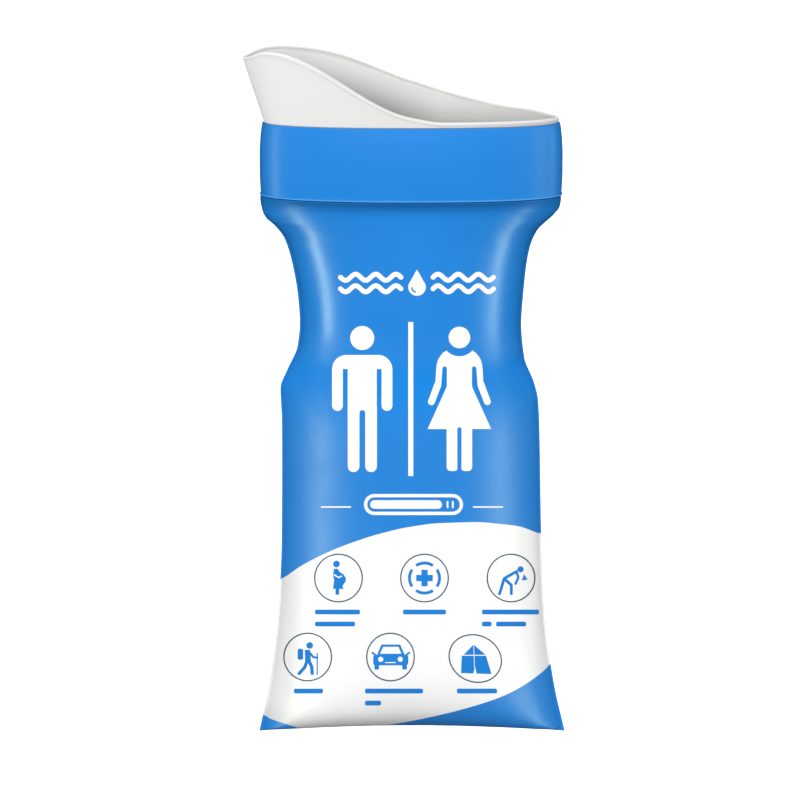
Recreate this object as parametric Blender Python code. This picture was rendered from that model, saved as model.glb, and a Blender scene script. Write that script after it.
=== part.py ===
"""Travel urine pouch: a stiff funnel set in a soft welded film bag with a valve and an absorbent sachet.

Run with: blender --background --python part.py

Metres, +Z up, +X across the pouch, -Y the printed front. The origin is the middle of the hand
grip, where the pouch is narrowest.
"""

import math

import bmesh
import bpy

MM = 0.001
GAP = 0.3 * MM  # clearance between neighbouring pieces

# Funnel and collar: an oval section, whose half sizes are those of the skirt's outer face.
OVAL_X = 56.9 * MM
OVAL_Y = 26.6 * MM
OVAL_POWER = 2.3
ROUND_STEPS = 36  # steps round every oval
COLLAR_LOW = 52.5 * MM
COLLAR_TOP = 81.0 * MM
SKIRT_LOW = 50.5 * MM
FUNNEL_WALL = 1.3 * MM
SHOULDER = 1.1 * MM  # step where the funnel grows out over the bag's top edge
THROAT_EDGE = 2.0 * MM  # inside, the straight skirt begins this far below the collar's top
COLLAR_WALL = 0.9 * MM
COLLAR_FIT = 0.1 * MM  # extra clearance between the band and the film under it
COLLAR_CHAMFER = 0.4 * MM  # step at the band's top edge
RIM_LOW = 2.3 * MM  # rim height above the collar on the low side
RIM_FRONT_RISE = 25.2 * MM  # further rise of the front lip to the high side
RIM_BACK_RISE = 27.0 * MM
RIM_FRONT_FALL = (-56.0 * MM, 66.0 * MM)  # where the front lip starts to fall, and over what length
RIM_BACK_FALL = (-55.0 * MM, 100.0 * MM)
RIM_TURN = 3.0  # how sharply the front lip's line turns into the back's at the two ends
RIM_TIP_DROP = 2.5 * MM
RIM_TIP_POWER = 12  # a greater power keeps the drop closer to the high end
RIM_FLARE = 0.32  # outward lean of the wall at the high end
BEAD_RADIUS = 0.95 * MM

# Bag: two film sheets welded along the sides and the bottom.
FILM = 0.3 * MM
BAG_LOW = -167.5 * MM  # the two lower corners
BAG_TOP = 79.5 * MM
BOTTOM_BOW = 2.5 * MM  # the bottom edge is this much higher in its middle
BOTTOM_WELD = 7.0 * MM
SIDE_WELD = 3.0 * MM
EAR_WIDTH = 8.0 * MM
EAR_HEIGHT = 55.0 * MM
LENS_POWER = 1.1  # a greater power pinches the bag's section more towards its side welds
EAR_LENS = 0.4  # further pinch at the lower corners
BOTTOM_POWER = 0.65  # roundness of the bag's lower end
CHORD_SHARE = 0.4  # on the oval, the weld's edge lies this far along the first chord
OVAL_FROM = 42.0 * MM  # the bag's section turns into the collar's oval between these heights
OVAL_FULL = 49.5 * MM

# Height and half width of the bag's outline in millimetres: ears, body, hand grip, shoulder.
HALF_WIDTHS_MM = [
    (-167.5, 62.2), (-147.0, 57.9), (-117.0, 54.0), (-87.0, 52.3), (-40.0, 51.6), (-26.0, 51.4),
    (-18.0, 48.2), (-8.5, 44.9), (1.0, 44.1), (18.0, 45.7), (30.0, 47.4), (35.0, 49.3),
    (40.3, 53.6), (44.5, 57.8), (52.0, 58.6),
]
# Height and half depth of the filled bag in millimetres, above the rounded lower end.
HALF_DEPTHS_MM = [(-105.0, 29.6), (-40.0, 29.0), (0.0, 26.2), (30.0, 26.6), (48.0, 26.9)]

# Valve: a film shelf inside the skirt and two lips below it.
VALVE_FILM = 0.4 * MM
VALVE_TOP = 61.5 * MM
VALVE_BEND = 58.0 * MM
VALVE_LOW = 44.0 * MM
THROAT_X = 40.0 * MM
THROAT_Y = 14.0 * MM
THROAT_POWER = 5.0
MIDDLE_POWER = 3.2  # squareness of the sleeve halfway down
LIP_HINGE_Z = 43.3 * MM
LIP_TIP_Z = 5.0 * MM
LIP_TIP_Y = 0.45 * MM
LIP_TOP_HALF = 34.0 * MM
LIP_TIP_HALF = 28.0 * MM

# Absorbent sachet, lying at the bottom of the bag.
SACHET_LOW = -143.0 * MM
SACHET_HALF_X = 38.0 * MM
SACHET_HALF_Z = 32.0 * MM
SACHET_SEAM = 4.0 * MM
SACHET_FILM = 0.4 * MM
SACHET_DEPTH = 2.9 * MM  # half thickness of the filling
CORE_SHARE = 0.88  # the core reaches this far towards the seam


def clear_scene():
    """Remove every object that the file starts with."""
    for item in list(bpy.data.objects):
        bpy.data.objects.remove(item, do_unlink=True)


def make_material(name, colour, roughness, alpha=1.0):
    """A plain plastic or fibre material."""
    material = bpy.data.materials.new(name)
    material.use_nodes = True
    shader = material.node_tree.nodes["Principled BSDF"]
    shader.inputs["Base Color"].default_value = (*colour, 1.0)
    shader.inputs["Roughness"].default_value = roughness
    shader.inputs["Metallic"].default_value = 0.0
    shader.inputs["Alpha"].default_value = alpha
    return material


def add_object(name, shape, material, pivot=(0.0, 0.0, 0.0)):
    """Turn a bmesh in world coordinates into a smooth-shaded object whose origin is the pivot."""
    bmesh.ops.translate(shape, vec=[-value for value in pivot], verts=shape.verts)
    mesh = bpy.data.meshes.new(name)
    shape.to_mesh(mesh)
    shape.free()
    mesh.shade_smooth()
    mesh.set_sharp_from_angle(angle=math.radians(40))
    item = bpy.data.objects.new(name, mesh)
    item.location = pivot
    item.data.materials.append(material)
    bpy.context.collection.objects.link(item)
    return item


def smooth_value(points, at):
    """Height of the smooth curve through (place, value) points, level where it turns back."""
    if at <= points[0][0]:
        return points[0][1]
    if at >= points[-1][0]:
        return points[-1][1]
    last = len(points) - 1
    rises = [(points[k + 1][1] - points[k][1]) / (points[k + 1][0] - points[k][0]) for k in range(last)]

    def slope(k):
        if k == 0:
            return rises[0]
        if k == last:
            return rises[-1]
        if rises[k - 1] * rises[k] <= 0.0:
            return 0.0
        return 2.0 * rises[k - 1] * rises[k] / (rises[k - 1] + rises[k])

    i = max(k for k in range(last) if points[k][0] <= at)
    width = points[i + 1][0] - points[i][0]
    u = (at - points[i][0]) / width
    return (
        points[i][1] * (1.0 - u) ** 2 * (1.0 + 2.0 * u)
        + points[i + 1][1] * u**2 * (3.0 - 2.0 * u)
        + slope(i) * width * u * (1.0 - u) ** 2
        - slope(i + 1) * width * u**2 * (1.0 - u)
    )


def blend_share(at, low, high):
    """0 up to low, 1 from high on, and a smooth step between them."""
    u = min(1.0, max(0.0, (at - low) / (high - low)))
    return u * u * (3.0 - 2.0 * u)


def oval_point(angle, half_x, half_y, power):
    """Point of an oval at an angle that runs from +X towards +Y."""
    c = math.cos(angle)
    s = math.sin(angle)
    x = math.copysign(abs(c) ** (2.0 / power), c) * half_x
    y = math.copysign(abs(s) ** (2.0 / power), s) * half_y
    return x, y


def round_angles():
    return [2.0 * math.pi * k / ROUND_STEPS for k in range(ROUND_STEPS)]


def flat_ring(half_x, half_y, z, power=OVAL_POWER):
    """Level oval ring of points."""
    return [(*oval_point(angle, half_x, half_y, power), z) for angle in round_angles()]


def skirt_ring(offset, z):
    """Level ring at a distance outside the skirt's outer face."""
    return flat_ring(OVAL_X + offset, OVAL_Y + offset, z)


def tube_wall(rings):
    """Closed wall through rings that run up the outside and down the inside of a tube."""
    shape = bmesh.new()
    loops = [[shape.verts.new(point) for point in ring] for ring in rings]
    for k, loop in enumerate(loops):
        following = loops[(k + 1) % len(loops)]
        for i in range(len(loop)):
            j = (i + 1) % len(loop)
            shape.faces.new((loop[i], loop[j], following[j], following[i]))
    bmesh.ops.recalc_face_normals(shape, faces=shape.faces)
    return shape


# Funnel ----------------------------------------------------------------------------------


def rim_height(angle):
    """Height of the rim above the collar: high at -X, low at +X, and lower on the front side."""
    x = math.cos(angle) * OVAL_X
    front = 1.0 - blend_fall(x, *RIM_FRONT_FALL)
    back = 1.0 - blend_fall(x, *RIM_BACK_FALL)
    back_share = 0.5 + 0.5 * math.tanh(RIM_TURN * math.sin(angle))
    rise = RIM_FRONT_RISE * front * (1.0 - back_share) + RIM_BACK_RISE * back * back_share
    tip = max(0.0, -math.cos(angle)) ** RIM_TIP_POWER
    return RIM_LOW + rise - RIM_TIP_DROP * tip


def blend_fall(x, start, length):
    """0 up to start, 1 after length, along half a cosine wave."""
    u = min(1.0, max(0.0, (x - start) / length))
    return 0.5 - 0.5 * math.cos(math.pi * u)


def funnel_ring(share, offset, lift):
    """Ring of the funnel's upper wall, from the shoulder (share 0) to the bead's centre (share 1)."""
    points = []
    for angle in round_angles():
        low = COLLAR_TOP + GAP
        centre = COLLAR_TOP + rim_height(angle) - BEAD_RADIUS
        z = low + (centre - low) * share
        lean = RIM_FLARE * (0.5 - 0.5 * math.cos(angle)) ** 1.5
        out = SHOULDER + lean * (z - low) + offset
        points.append((*oval_point(angle, OVAL_X + out, OVAL_Y + out, OVAL_POWER), z + lift))
    return points


def build_funnel(material):
    """Moulded funnel: a straight skirt, a shoulder, a leaning wall and a rounded rim bead."""
    wall_steps = (0.0, 0.3, 0.6, 0.85)
    bead_angles = [math.radians(a) for a in (-35, 10, 55, 90, 125, 170, 215)]
    rings = [skirt_ring(0.0, SKIRT_LOW), skirt_ring(0.0, COLLAR_TOP + GAP)]
    rings += [funnel_ring(share, 0.0, 0.0) for share in wall_steps]
    for a in bead_angles:
        offset = BEAD_RADIUS * math.cos(a) - FUNNEL_WALL / 2.0
        rings.append(funnel_ring(1.0, offset, BEAD_RADIUS * math.sin(a)))
    rings += [funnel_ring(share, -FUNNEL_WALL, 0.0) for share in reversed(wall_steps)]
    rings.append(skirt_ring(-FUNNEL_WALL, COLLAR_TOP - THROAT_EDGE))
    rings.append(skirt_ring(-FUNNEL_WALL, SKIRT_LOW))
    return add_object("mouth_funnel", tube_wall(rings), material)


def build_collar_band(material):
    """Blue band that clamps the bag's mouth on the skirt: crowned outside, with a hem below."""
    inside = 2.0 * GAP + FILM + COLLAR_FIT
    outside = inside + COLLAR_WALL
    height = COLLAR_TOP - COLLAR_LOW
    profile = [
        (0.0, 0.0), (0.015, 0.35), (0.05, 0.35), (0.08, 0.0), (0.2, 0.75), (0.45, 1.1),
        (0.7, 1.0), (0.9, 0.5), (0.98, 0.0),
    ]
    rings = [skirt_ring(inside, COLLAR_LOW)]
    rings += [skirt_ring(outside + crown * MM, COLLAR_LOW + height * share) for share, crown in profile]
    rings += [skirt_ring(outside - COLLAR_CHAMFER, COLLAR_TOP), skirt_ring(inside, COLLAR_TOP)]
    return add_object("collar_band", tube_wall(rings), material)


# Bag -------------------------------------------------------------------------------------


def half_width(z):
    return smooth_value(HALF_WIDTHS_MM, z / MM) * MM


def half_depth(z):
    """Half depth of the filled bag, rounding down to the flat bottom weld."""
    weld_top = BAG_LOW + BOTTOM_WELD
    full = HALF_DEPTHS_MM[0][0] * MM
    depth = smooth_value(HALF_DEPTHS_MM, z / MM) * MM
    if z >= full:
        return depth
    u = min(1.0, (full - z) / (full - weld_top))
    return depth * (1.0 - u * u) ** BOTTOM_POWER


def film_rows():
    """Heights of the film's rows, closer together where the outline or the depth turns."""
    weld_top = BAG_LOW + BOTTOM_WELD
    stretches = [
        (BAG_LOW, weld_top, 2), (weld_top, weld_top + 10 * MM, 4), (weld_top + 10 * MM, -100 * MM, 7),
        (-100 * MM, -34 * MM, 5), (-34 * MM, -6 * MM, 5), (-6 * MM, 28 * MM, 3),
        (28 * MM, OVAL_FULL, 6), (OVAL_FULL, BAG_TOP, 2),
    ]
    rows = [low + (high - low) * k / steps for low, high, steps in stretches for k in range(steps)]
    return rows + [BAG_TOP]


def film_row(z):
    """Inner face of one film sheet at a height, as (x, depth) from -X to +X."""
    ear = max(0.0, 1.0 - (z - BAG_LOW) / EAR_HEIGHT) ** 2
    weld = SIDE_WELD + EAR_WIDTH * ear
    round_x = half_width(z) - weld
    pinch = LENS_POWER + EAR_LENS * ear
    oval_share = blend_share(z, OVAL_FROM, OVAL_FULL)
    half_steps = ROUND_STEPS // 2
    body = []
    oval = []
    for k in range(half_steps + 1):
        angle = math.pi * (1.0 - k / half_steps)
        body.append((math.cos(angle) * round_x, half_depth(z) * math.sin(angle) ** pinch))
        oval.append(oval_point(angle, OVAL_X + GAP, OVAL_Y + GAP, OVAL_POWER))
    # The weld's outer edge is one more point at each end; on the oval it lies on the first chord.
    body = [(-half_width(z), 0.0), *body, (half_width(z), 0.0)]
    first = between(oval[0], oval[1], CHORD_SHARE)
    last = between(oval[-1], oval[-2], CHORD_SHARE)
    oval = [oval[0], first, *oval[1:-1], last, oval[-1]]
    return [between(a, b, oval_share) for a, b in zip(body, oval, strict=True)]


def between(a, b, share):
    return tuple(p + (q - p) * share for p, q in zip(a, b, strict=True))


def film_shape(side):
    """One sheet's inner face: side is -1 for the front and 1 for the back."""
    shape = bmesh.new()
    grid = []
    for z in film_rows():
        fade = 1.0 - blend_share(z, BAG_LOW, BAG_LOW + EAR_HEIGHT)
        verts = []
        for x, depth in film_row(z):
            lift = BOTTOM_BOW * fade * (1.0 - (x / half_width(z)) ** 2)
            verts.append(shape.verts.new((x, side * (depth + GAP / 2.0), z + lift)))
        grid.append(verts)
    for lower, upper in zip(grid, grid[1:]):
        for k in range(len(lower) - 1):
            corners = (lower[k], lower[k + 1], upper[k + 1], upper[k])
            shape.faces.new(corners if side < 0 else corners[::-1])
    return shape


def thicken(item, thickness):
    """Give a sheet its thickness on the side that its faces look to."""
    solid = item.modifiers.new("film thickness", "SOLIDIFY")
    solid.thickness = thickness
    solid.offset = 1.0
    solid.use_even_offset = True


def build_films(front_material, back_material):
    """Front and back sheets of the bag, with a gap between them along the welds."""
    thicken(add_object("front_film", film_shape(-1), front_material), FILM)
    thicken(add_object("back_film", film_shape(1), back_material), FILM)


# Valve -----------------------------------------------------------------------------------


def build_valve_sleeve(material):
    """Film shelf inside the skirt that narrows to a flat throat."""
    inset = FUNNEL_WALL + GAP
    wide_x = OVAL_X - inset
    wide_y = OVAL_Y - inset
    levels = [
        (VALVE_LOW, THROAT_X + VALVE_FILM, THROAT_Y + VALVE_FILM, THROAT_POWER),
        ((VALVE_LOW + VALVE_BEND) / 2, (THROAT_X + wide_x) / 2, (THROAT_Y + wide_y) / 2, MIDDLE_POWER),
        (VALVE_BEND, wide_x, wide_y, OVAL_POWER),
        (VALVE_TOP, wide_x, wide_y, OVAL_POWER),
    ]
    rings = [flat_ring(x, y, z, power) for z, x, y, power in levels]
    rings += [flat_ring(x - VALVE_FILM, y - VALVE_FILM, z, power) for z, x, y, power in reversed(levels)]
    return add_object("valve_sleeve", tube_wall(rings), material)


def build_valve_lips(material):
    """Two film lips that hang from the throat and meet in its middle plane, each turning on its top edge."""
    for name, side in (("valve_flap_front", -1.0), ("valve_flap_back", 1.0)):
        hinge_y = side * THROAT_Y
        tip_y = side * LIP_TIP_Y
        shape = bmesh.new()
        for y, z, half in ((hinge_y, LIP_HINGE_Z, LIP_TOP_HALF), (tip_y, LIP_TIP_Z, LIP_TIP_HALF)):
            for x in (-half, half):
                for offset in (-VALVE_FILM / 2.0, VALVE_FILM / 2.0):
                    shape.verts.new((x, y + offset, z))
        bmesh.ops.convex_hull(shape, input=shape.verts)
        add_object(name, shape, material, pivot=(0.0, hinge_y, LIP_HINGE_Z))


# Absorbent sachet ------------------------------------------------------------------------


def pillow_depth(x, z):
    """Half thickness of the sachet's filling at a place measured from the sachet's middle."""
    u = min(1.0, abs(x) / (SACHET_HALF_X - SACHET_SEAM))
    v = min(1.0, abs(z) / (SACHET_HALF_Z - SACHET_SEAM))
    return SACHET_DEPTH * (1.0 - u**4) * (1.0 - v**4)


def even_steps(half, count):
    return [half * (2.0 * k / count - 1.0) for k in range(count + 1)]


def sachet_middle():
    return SACHET_LOW + SACHET_HALF_Z


def build_sachet_sheet(name, side, material):
    """Nonwoven sheet, domed over the core and flat along its seam."""
    shape = bmesh.new()
    xs = even_steps(SACHET_HALF_X, 14)
    zs = even_steps(SACHET_HALF_Z, 12)
    grid = []
    for z in zs:
        places = [(x, side * (GAP / 2.0 + pillow_depth(x, z)), sachet_middle() + z) for x in xs]
        grid.append([shape.verts.new(place) for place in places])
    for lower, upper in zip(grid, grid[1:]):
        for k in range(len(lower) - 1):
            corners = (lower[k], lower[k + 1], upper[k + 1], upper[k])
            shape.faces.new(corners if side < 0 else corners[::-1])
    thicken(add_object(name, shape, material, pivot=(0.0, 0.0, sachet_middle())), SACHET_FILM)


def build_core(material):
    """Absorbent pad that fills the sachet's dome, a gap inside its sheets."""
    shape = bmesh.new()
    half_x = (SACHET_HALF_X - SACHET_SEAM) * CORE_SHARE
    half_z = (SACHET_HALF_Z - SACHET_SEAM) * CORE_SHARE
    xs = even_steps(half_x, 12)
    zs = even_steps(half_z, 10)
    faces = {}
    for side in (-1.0, 1.0):
        faces[side] = [
            [
                shape.verts.new((x, side * (pillow_depth(x, z) - GAP / 2.0), sachet_middle() + z))
                for x in xs
            ]
            for z in zs
        ]
        for lower, upper in zip(faces[side], faces[side][1:]):
            for k in range(len(lower) - 1):
                shape.faces.new((lower[k], lower[k + 1], upper[k + 1], upper[k]))
    front = outline(faces[-1.0])
    back = outline(faces[1.0])
    for k in range(len(front)):
        j = (k + 1) % len(front)
        shape.faces.new((front[k], front[j], back[j], back[k]))
    bmesh.ops.recalc_face_normals(shape, faces=shape.faces)
    add_object("absorbent_core", shape, material, pivot=(0.0, 0.0, sachet_middle()))


def outline(grid):
    """Points round the edge of a grid, in order."""
    right = [row[-1] for row in grid[1:-1]]
    left = [row[0] for row in grid[1:-1]]
    return grid[0] + right + grid[-1][::-1] + left[::-1]


def build_pouch():
    clear_scene()
    build_funnel(make_material("funnel white", (0.80, 0.80, 0.78), 0.35))
    build_collar_band(make_material("collar blue", (0.03, 0.26, 0.78), 0.30))
    front = make_material("front film blue", (0.03, 0.27, 0.79), 0.28)
    back = make_material("back film blue", (0.03, 0.25, 0.74), 0.28)
    build_films(front, back)
    valve = make_material("valve film", (0.85, 0.88, 0.90), 0.20, alpha=0.6)
    build_valve_sleeve(valve)
    build_valve_lips(valve)
    nonwoven = make_material("nonwoven", (0.86, 0.86, 0.84), 0.85)
    build_sachet_sheet("sachet_front_sheet", -1.0, nonwoven)
    build_sachet_sheet("sachet_back_sheet", 1.0, nonwoven)
    build_core(make_material("absorbent pad", (0.80, 0.79, 0.74), 0.90))


build_pouch()
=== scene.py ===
"""Looks of the travel urine pouch: printed film bag, collar band, funnel, valve and sachet.

Metres in the row frame: +Z up, +X across the pouch, -Y the printed front. The origin is the
middle of the hand grip.
"""

import math

import bmesh
import bpy
import numpy as np
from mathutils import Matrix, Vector, noise
from mathutils.bvhtree import BVHTree
from mathutils.geometry import delaunay_2d_cdt


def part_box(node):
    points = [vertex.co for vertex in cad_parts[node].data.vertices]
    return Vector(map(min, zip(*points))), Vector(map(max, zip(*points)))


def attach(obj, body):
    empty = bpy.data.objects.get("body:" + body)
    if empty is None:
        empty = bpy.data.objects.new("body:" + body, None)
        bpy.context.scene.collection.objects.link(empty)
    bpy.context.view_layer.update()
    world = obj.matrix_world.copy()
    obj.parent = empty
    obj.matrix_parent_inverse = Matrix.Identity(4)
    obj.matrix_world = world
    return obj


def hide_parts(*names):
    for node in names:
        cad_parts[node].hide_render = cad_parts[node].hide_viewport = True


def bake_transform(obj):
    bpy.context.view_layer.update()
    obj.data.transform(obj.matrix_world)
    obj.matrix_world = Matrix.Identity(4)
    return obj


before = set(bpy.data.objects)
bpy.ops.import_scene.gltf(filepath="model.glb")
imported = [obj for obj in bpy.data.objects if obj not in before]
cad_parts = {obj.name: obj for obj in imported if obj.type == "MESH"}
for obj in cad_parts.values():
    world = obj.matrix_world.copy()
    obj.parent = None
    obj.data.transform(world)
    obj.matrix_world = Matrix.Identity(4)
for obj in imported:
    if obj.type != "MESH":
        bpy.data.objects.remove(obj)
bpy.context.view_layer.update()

MM = 0.001

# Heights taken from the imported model.
BAG_LOW, BAG_TOP = (corner.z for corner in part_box("front_film"))
COLLAR_LOW, COLLAR_TOP = (corner.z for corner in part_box("collar_band"))
SKIRT_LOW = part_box("mouth_funnel")[0].z
VALVE_LOW, VALVE_TOP = (corner.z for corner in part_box("valve_sleeve"))
LIP_TIP_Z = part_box("valve_flap_front")[0].z

CAMERA_DISTANCE = 1.30
CAMERA_TILT = math.radians(10.5)
CAMERA_TARGET = Vector((-4.4 * MM, 0.0, -30.4 * MM))
CAMERA_BACK = Vector((0.0, -math.cos(CAMERA_TILT), math.sin(CAMERA_TILT)))
CAMERA_UP = Vector((0.0, math.sin(CAMERA_TILT), math.cos(CAMERA_TILT)))
CAMERA_PLACE = CAMERA_TARGET + CAMERA_BACK * CAMERA_DISTANCE
VIEW_WIDTH = 320.0 * MM  # width of the view at the target

# Skirt's outer face, the oval that the mouth is built on.
OVAL_X = 56.9 * MM
OVAL_Y = 26.6 * MM
OVAL_POWER = 2.3

# Small helpers -------------------------------------


def smooth_table(points, step=0.25):
    """Dense samples of the smooth curve through (place, value) points in millimetres."""
    places = np.array([p for p, _ in points])
    values = np.array([v for _, v in points])
    width = np.diff(places)
    rise = np.diff(values) / width
    slope = np.zeros(len(points))
    slope[0], slope[-1] = rise[0], rise[-1]
    same = rise[:-1] * rise[1:] > 0
    both = rise[:-1] + rise[1:]
    slope[1:-1][same] = (2 * rise[:-1] * rise[1:])[same] / both[same]
    at = np.arange(places[0], places[-1] + step / 2, step)
    i = np.clip(np.searchsorted(places, at, side="right") - 1, 0, len(width) - 1)
    u = np.clip((at - places[i]) / width[i], 0, 1)
    value = (
        values[i] * (1 - u) ** 2 * (1 + 2 * u)
        + values[i + 1] * u**2 * (3 - 2 * u)
        + slope[i] * width[i] * u * (1 - u) ** 2
        - slope[i + 1] * width[i] * u**2 * (1 - u)
    )
    return at * MM, value * MM


def curve(points):
    """Function of a place in metres that follows the smooth curve through points in millimetres."""
    at, value = smooth_table(points)
    return lambda place: np.interp(place, at, value)


def blend_share(at, low, high):
    """0 up to low, 1 from high on, and a smooth step between them."""
    u = np.clip((at - low) / (high - low), 0, 1)
    return u * u * (3 - 2 * u)


def signed_power(value, power):
    return np.sign(value) * np.abs(value) ** power


def oval(angle, half_x, half_y, power=OVAL_POWER):
    """Points of an oval at angles that run from +X towards +Y."""
    x = signed_power(np.cos(angle), 2 / power) * half_x
    y = signed_power(np.sin(angle), 2 / power) * half_y
    return x, y


def add_object(name, data):
    made = bpy.data.objects.new(name, data)
    bpy.context.scene.collection.objects.link(made)
    return made


def smooth_shade(mesh, degrees=45):
    mesh.shade_smooth()
    mesh.set_sharp_from_angle(angle=math.radians(degrees))


def add_mesh(name, verts, faces, materials, slots=None, degrees=45):
    """Object from plain lists, with a material index for each face."""
    mesh = bpy.data.meshes.new(name)
    mesh.from_pydata([tuple(v) for v in verts], [], [tuple(f) for f in faces])
    for material in materials:
        mesh.materials.append(material)
    if slots is not None:
        mesh.polygons.foreach_set("material_index", np.array(slots, np.int32))
    mesh.update()
    smooth_shade(mesh, degrees)
    return add_object(name, mesh)


def thicken(piece, thickness, inner_slot=0):
    """Give a sheet its thickness on its inner side, whose faces may take the last material slot."""
    solid = piece.modifiers.new("thickness", "SOLIDIFY")
    solid.material_offset = inner_slot
    solid.thickness = thickness
    solid.offset = -1.0
    solid.use_even_offset = True
    bpy.context.view_layer.update()
    shown = piece.evaluated_get(bpy.context.evaluated_depsgraph_get())
    mesh = bpy.data.meshes.new_from_object(shown)
    piece.modifiers.clear()
    piece.data = mesh
    smooth_shade(mesh)


def settle(piece, node, body):
    """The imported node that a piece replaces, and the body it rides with."""
    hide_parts(node)
    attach(piece, body)


def grid_faces(rows, columns, outward):
    """Quads of a grid of points stored row by row; outward turns them round."""
    faces = []
    for r in range(rows - 1):
        for c in range(columns - 1):
            a = r * columns + c
            quad = (a, a + 1, a + columns + 1, a + columns)
            faces.append(quad if outward else quad[::-1])
    return faces


def tube_mesh(name, rings, materials, degrees=45, second=()):
    """Closed wall through rings that run up the outside of a tube and down its inside.

    The strips above the rings in second take the second material.
    """
    count = len(rings[0])
    faces = []
    for k in range(len(rings)):
        low, high = k * count, ((k + 1) % len(rings)) * count
        faces += [(low + i - 1, low + i, high + i, high + i - 1) for i in range(1, count)]
        faces.append((low + count - 1, low, high, high + count - 1))
    slots = [int(k in second) for k in range(len(rings)) for _ in range(count)]
    piece = add_mesh(name, np.concatenate(rings), faces, materials, slots, degrees)
    shape = bmesh.new()
    shape.from_mesh(piece.data)
    bmesh.ops.recalc_face_normals(shape, faces=shape.faces)
    shape.to_mesh(piece.data)
    shape.free()
    smooth_shade(piece.data, degrees)
    return piece


# Materials -----------------------------------------

NOISE_MIDDLE = (0.25, 0.75)  # where most of a noise's values lie
FILM_IOR = 1.48
GRAIN_SCALE = 2600.0
LEAN_END = 12 * MM  # right of here, a leaning height stays level


def feed(tree, target, value):
    """Give an input a constant, or the output that feeds it."""
    if isinstance(value, bpy.types.NodeSocket):
        tree.links.new(value, target)
    else:
        target.default_value = value


def add_node(tree, kind, output, inputs=None, **settings):
    """One output of a new node, with its inputs fed and its settings made."""
    made = tree.nodes.new(kind)
    for key, value in settings.items():
        setattr(made, key, value)
    for key, value in (inputs or {}).items():
        feed(tree, made.inputs[key], value)
    return made.outputs[output]


class Material:
    """A Principled material with short calls for the nodes that feed it."""

    def __init__(self, name, roughness, **constants):
        self.material = bpy.data.materials.new(name)
        self.material.use_nodes = True
        self.tree = self.material.node_tree
        self.shader = self.tree.nodes["Principled BSDF"]
        self.put(Roughness=roughness, **constants)
        self.place = self.node("ShaderNodeTexCoord", "Object")

    def node(self, kind, output, inputs=None, **settings):
        return add_node(self.tree, kind, output, inputs, **settings)

    def put(self, **values):
        """Feed the shader's inputs, whose names are written with _ for each space."""
        for name, value in values.items():
            feed(self.tree, self.shader.inputs[name.replace("_", " ")], value)

    def noise(self, scale, detail=2.0, roughness=0.5, stretch=(1.0, 1.0, 1.0)):
        """Noise over the object's own coordinates, in metres."""
        place = self.node("ShaderNodeMapping", "Vector", {"Vector": self.place, "Scale": stretch})
        inputs = {"Vector": place, "Scale": scale, "Detail": detail, "Roughness": roughness}
        return self.node("ShaderNodeTexNoise", "Fac", inputs)

    def cells(self, scale):
        """Distance to the nearest of scattered points, over the object's own coordinates."""
        inputs = {"Vector": self.place, "Scale": scale}
        return self.node("ShaderNodeTexVoronoi", "Distance", inputs)

    def ramp(self, value, low, high, at=NOISE_MIDDLE):
        """Colour that runs from low to high as the value crosses the two places."""
        output = self.node("ShaderNodeValToRGB", "Color", {"Fac": value})
        ramp = output.node.color_ramp
        ramp.interpolation = "EASE"
        for element, position, colour in zip(ramp.elements, at, (low, high)):
            element.position = position
            element.color = (*colour, 1.0)
        return output

    def share(self, value, near, far, low=0.0, high=1.0):
        """Low where the value is near, high where it is far, and a smooth step between them."""
        inputs = {"Value": value, "From Min": near, "From Max": far, "To Min": low, "To Max": high}
        return self.node("ShaderNodeMapRange", "Result", inputs, interpolation_type="SMOOTHSTEP")

    def spread(self, value, low, high):
        """The middle range of a noise stretched over low to high."""
        return self.share(value, *NOISE_MIDDLE, low, high)

    def coordinate(self, axis):
        """One of the object's own coordinates, in metres."""
        return self.node("ShaderNodeSeparateXYZ", axis, {"Vector": self.place})

    def height_share(self, near, far, lean=0.0):
        """0 at one height and 1 at a second height, with a smooth step between them.

        Left of LEAN_END both heights rise by lean for each metre towards -X.
        """
        height = self.coordinate("Z")
        if lean:
            inputs = {0: self.coordinate("X"), 1: LEAN_END}
            left = self.node("ShaderNodeMath", "Value", inputs, operation="MINIMUM")
            height = self.add(height, left, lean)
        return self.share(height, near, far)

    def fade(self, colour, other, share):
        """Colour that turns into another one as a share goes from 0 to 1."""
        inputs = {"Factor": share, "A": colour, "B": (*other, 1.0)}
        return self.node("ShaderNodeMix", "Result", inputs, data_type="RGBA")

    def add(self, value, share, most):
        """Value plus a share of the most that is added."""
        inputs = {0: share, 1: most, 2: value}
        return self.node("ShaderNodeMath", "Value", inputs, operation="MULTIPLY_ADD")

    def gloss(self, level, steps):
        """Specular level that gains a part of itself over each (near, far, part) step in height."""
        start = self.tree.nodes.new("ShaderNodeValue")
        value = start.outputs["Value"]
        value.default_value = level
        for near, far, part in steps:
            value = self.add(value, self.height_share(near, far), part * level)
        self.put(Specular_IOR_Level=value)

    def finish(self, colour, roughness, *layers):
        """Colour, roughness, and bump from (height, distance in metres, strength), coarsest first."""
        below = {}
        for height, distance, strength in layers:
            inputs = {"Distance": distance, "Strength": strength, "Height": height, **below}
            below = {"Normal": self.node("ShaderNodeBump", "Normal", inputs)}
        self.put(Base_Color=colour, Roughness=roughness, **below)
        return self.material


def shade(colour, factor):
    return tuple(channel * factor for channel in colour)


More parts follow.
